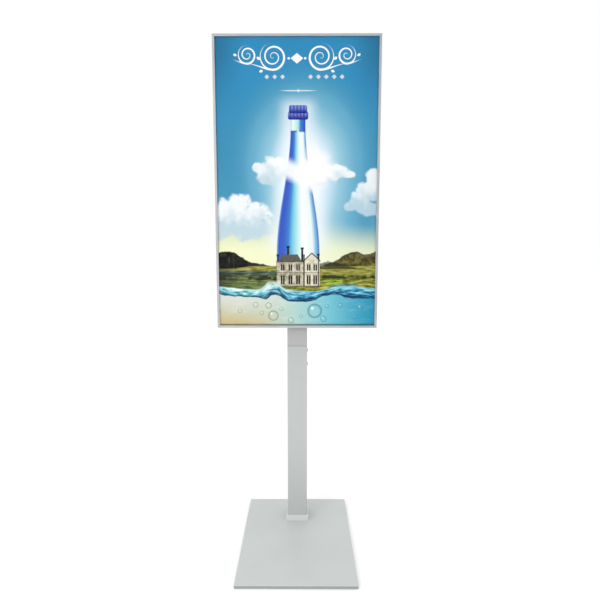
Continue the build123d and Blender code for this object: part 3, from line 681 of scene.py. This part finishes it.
def lozenges(graph, x, z, middle_x, count):
    """A row of an odd number of diamonds."""
    pitch = 22.0
    size = 6.6
    # The wave needs a positive input, so it starts a whole number of pitches to the left
    from_centre = graph.math("PINGPONG", x - middle_x + 40 * pitch, pitch / 2)
    shape = graph.absolute(z - LOZENGE_Z) + from_centre - size
    past_row = graph.absolute(x - middle_x) - count * pitch / 2
    return graph.smooth(0.7, -0.7, graph.maximum(shape, past_row))


def headline_ornament(graph, x, z, picture):
    """A white symmetrical flourish over a row of lozenges and a thin rule."""
    side = graph.absolute(x)
    big = scroll(graph, side, z, 66.0, 752.0, 34.0, 15.5, 3.0)
    small = scroll(graph, side, z, 138.0, 757.0, 23.0, 12.5, 2.6)
    # Tails run outwards from the foot of each scroll and thin to nothing
    tail_height = 718.0 + graph.smooth(66.0, 140.0, side) * 16.0
    tail_width = graph.smooth(144.0, 66.0, side) * 2.6 + 0.2
    tail = graph.maximum(graph.absolute(z - tail_height) - tail_width, 64.0 - side, side - 141.0)
    end_height = 734.0 + graph.smooth(138.0, 196.0, side) * 14.0
    end_width = graph.smooth(200.0, 130.0, side) * 3.6 - 1.1
    end = graph.maximum(graph.absolute(z - end_height) - end_width, 134.0 - side)
    # Leaves on the tails, and a diamond between two drops in the middle
    marks = [big, small, tail, end]
    leaves = ((107.0, 748.0, 0.7, 11.0), (172.0, 757.0, 0.5, 9.0), (100.0, 714.0, -0.4, 9.0))
    for centre_x, centre_z, lean, length in leaves:
        along = (side - centre_x) + (z - centre_z) * lean
        across = (z - centre_z) - (side - centre_x) * lean
        marks.append(graph.absolute(across) + along * along / length - length * 0.42)
    marks.append(side * 0.8 + graph.absolute(z - SCROLL_Z) - 14.0)
    marks.append(distance(graph, side - 23.0, z - SCROLL_Z) - 3.2)
    shape = graph.minimum(*marks)
    picture = graph.mix(graph.smooth(0.9, -0.9, shape) * 0.96, picture, WHITE)

    row = graph.maximum(lozenges(graph, x, z, -62.0, 3), lozenges(graph, x, z, 82.0, 5))
    picture = graph.mix(row * 0.6, picture, WHITE)
    # A thin rule with pointed ends and a small diamond on it
    from_middle = graph.absolute(x - RULE_X)
    from_rule = graph.absolute(z - RULE_Z)
    rule_width = graph.smooth(72.0, 20.0, from_middle) * 2.4 - 0.8
    rule = graph.minimum(from_rule - rule_width, from_rule + from_middle - 5.0)
    return graph.mix(graph.smooth(0.6, -0.6, rule) * 0.65, picture, WHITE)


def printed_poster(name):
    """Generic drinks poster: sky, bottle, country house and water, printed on paper."""
    graph = Graph(name)
    x_metres, _, z_metres = graph.axes()
    x = x_metres * MM_PER_METRE
    z = (z_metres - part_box("poster")[0].z) * MM_PER_METRE - SHEET_MARGIN
    puffs = graph.noise(34.0, detail=4.0, roughness=0.5)
    texture = graph.noise(110.0, detail=3.0, roughness=0.65)
    streaks = graph.noise(1.0, detail=3.0, roughness=0.6, vector=graph.stretched(30.0, 1.0, 170.0))
    picture = sky(graph, x, z)
    picture = clouds(graph, x, z, puffs, picture)
    picture = bottle(graph, x, z, picture)
    picture = sunburst(graph, x, z, picture)
    picture = hills(graph, x, z, texture, streaks, picture)
    picture = house(graph, x, z, texture, picture)
    picture = water(graph, x, z, picture)
    picture = headline_ornament(graph, x, z, picture)
    # A dark line along the lower edge, where the frame shades the sheet
    picture = graph.mix(graph.smooth(2.2, 1.0, z) * 0.6, picture, srgb(60, 56, 48))
    return graph.finish(base_color=picture, roughness=0.5, specular_ior_level=0.1)


# ---------------------------------------------------------------- assign the materials

PLATE_EDGE_TOP = 0.0075
ANODISED = (srgb(182, 184, 186), srgb(164, 167, 170))

coat = powder_coat("powder_coat", srgb(174, 177, 176), srgb(171, 174, 173))
# The plate's coat carries painted shade along its low edge
plate_coat = powder_coat(
    "powder_coat_plate", srgb(183, 187, 186), srgb(180, 184, 183), shaded_edge_height=PLATE_EDGE_TOP
)
# Painted light: a lighter copy of the coat for the collar, making up for the shade it gets at the post's foot
collar_coat_painted_light = powder_coat("powder_coat_collar_painted_light", srgb(200, 204, 203), srgb(197, 201, 200))
# Painted shade: a darker, neutral copy of the coat for the upper post and crossbars, partly their own neutral
# finish and partly the shade of the panel above them painted in
coat_painted_shade = powder_coat("powder_coat_painted_shade", srgb(168, 168, 168), srgb(165, 165, 165))
frame_across = brushed_metal("anodised_across", *ANODISED, (30.0, 900.0, 900.0))
frame_upright = brushed_metal("anodised_upright", *ANODISED, (900.0, 900.0, 30.0))
bare_steel = brushed_metal("bare_steel", srgb(170, 172, 174), srgb(152, 154, 157), (900.0, 900.0, 24.0))
spring_steel = brushed_metal("spring_steel", srgb(150, 152, 158), srgb(120, 122, 128), (700.0,) * 3)
zinc = plated_steel("zinc_plate")
grey_plastic = moulded_plastic("grey_plastic", srgb(104, 105, 106), srgb(94, 95, 96))
cap_plastic = moulded_plastic("cap_plastic", srgb(176, 177, 177), srgb(168, 169, 169))
pad_rubber = moulded_plastic("pad_rubber", srgb(30, 30, 31), srgb(24, 24, 25))
board = foam_board("foam_board")
sheet = clear_sheet("clear_sheet")
poster = printed_poster("printed_poster")

finishes = {
    coat: ["lower_post"],
    plate_coat: ["base_plate"],
    collar_coat_painted_light: ["post_collar"],
    coat_painted_shade: ["upper_post", "crossbar_lower", "crossbar_upper"],
    frame_across: ["frame_rail_top", "frame_rail_bottom", "snap_cover_top", "snap_cover_bottom"],
    frame_upright: ["frame_rail_left", "frame_rail_right", "snap_cover_left", "snap_cover_right"],
    bare_steel: ["post_foot_plug", "clamp_nut_plate", "spigot_tube", "spigot_spacer", "corner_keys"],
    spring_steel: ["snap_springs"],
    zinc: [
        "base_screws", "clamp_screw_lower", "clamp_screw_upper", "spigot_screws", "spigot_nuts",
        "rail_bolts", "rail_washers", "rail_nuts", "frame_screws",
    ],
    grey_plastic: ["glide_bush", "spigot_glide"],
    cap_plastic: ["post_top_cap", "crossbar_caps"],
    pad_rubber: ["foot_pads"],
    board: ["backboard"],
    sheet: ["clear_cover"],
    poster: ["poster"],
}
for material, names in finishes.items():
    for name in names:
        mesh = nodes[name].data
        mesh.materials.clear()
        mesh.materials.append(material)

# ---------------------------------------------------------------- stage, light and camera

FLOOR_SIZE = 24.0
HORIZON_LIGHT = 1.0
ZENITH_LIGHT = 1.36
SOFTBOX_STARTS = 0.55
SOFTBOX_FULL = 0.85

CAMERA_PLACE = (0.0158, -1.3462, 0.8841)
CAMERA_DIPS = 6.884
CAMERA_TURNS = 0.295
SENSOR_MM = 36.0
LENS_MM = 28.86


def floor_plane():
    """Plain pale floor, large enough to run to the horizon."""
    reach = FLOOR_SIZE / 2
    corners = [(-reach, -reach, 0.0), (reach, -reach, 0.0), (reach, reach, 0.0), (-reach, reach, 0.0)]
    mesh = bpy.data.meshes.new("floor")
    mesh.from_pydata(corners, [], [(0, 1, 2, 3)])
    floor = bpy.data.objects.new("floor", mesh)
    bpy.context.scene.collection.objects.link(floor)
    graph = Graph("floor_paint")
    tone = graph.mix(graph.noise(3.0), srgb(242, 242, 242), srgb(239, 239, 239))
    mesh.materials.append(graph.finish(base_color=tone, roughness=0.8))


def studio_world():
    """White surroundings, brighter overhead like a large ceiling softbox."""
    world = bpy.data.worlds.new("studio")
    world.use_nodes = True
    tree = world.node_tree
    direction = tree.nodes.new("ShaderNodeTexCoord").outputs["Generated"]
    split = tree.nodes.new("ShaderNodeSeparateXYZ")
    tree.links.new(direction, split.inputs[0])
    overhead = tree.nodes.new("ShaderNodeMapRange")
    overhead.interpolation_type = "SMOOTHSTEP"
    overhead.inputs["From Min"].default_value = SOFTBOX_STARTS
    overhead.inputs["From Max"].default_value = SOFTBOX_FULL
    overhead.inputs["To Min"].default_value = HORIZON_LIGHT
    overhead.inputs["To Max"].default_value = ZENITH_LIGHT
    tree.links.new(split.outputs["Z"], overhead.inputs["Value"])
    background = tree.nodes["Background"]
    background.inputs["Color"].default_value = (1.0, 1.0, 1.0, 1.0)
    tree.links.new(overhead.outputs["Result"], background.inputs["Strength"])
    bpy.context.scene.world = world


def area_light(name, place, turn, size, power):
    """Square soft light. Its turn is in degrees about X, Y and Z, its size in metres, its power in watts."""
    lamp = bpy.data.lights.new(name, "AREA")
    lamp.shape = "SQUARE"
    lamp.size = size
    lamp.energy = power
    light = bpy.data.objects.new(name, lamp)
    light.location = place
    light.rotation_euler = [radians(angle) for angle in turn]
    bpy.context.scene.collection.objects.link(light)


def camera():
    """Camera at the height of the panel's lower part, looking slightly down."""
    lens = bpy.data.cameras.new("camera")
    lens.sensor_width = SENSOR_MM
    lens.lens = LENS_MM
    view = bpy.data.objects.new("camera", lens)
    view.location = CAMERA_PLACE
    view.rotation_euler = (radians(90.0 - CAMERA_DIPS), 0.0, radians(CAMERA_TURNS))
    bpy.context.scene.collection.objects.link(view)
    bpy.context.scene.camera = view


floor_plane()
studio_world()
area_light("soft_light", place=(-2.4, -3.0, 1.75), turn=(76.0, 0.0, -38.7), size=1.6, power=40.0)
area_light("back_light", place=(0.5, 3.6, 2.4), turn=(66.0, 0.0, 172.0), size=1.6, power=4.0)
area_light("foot_light", place=(-0.15, -0.85, 0.12), turn=(87.0, 0.0, -9.0), size=0.22, power=0.6)
bpy.context.scene.view_settings.view_transform = "Standard"
camera()
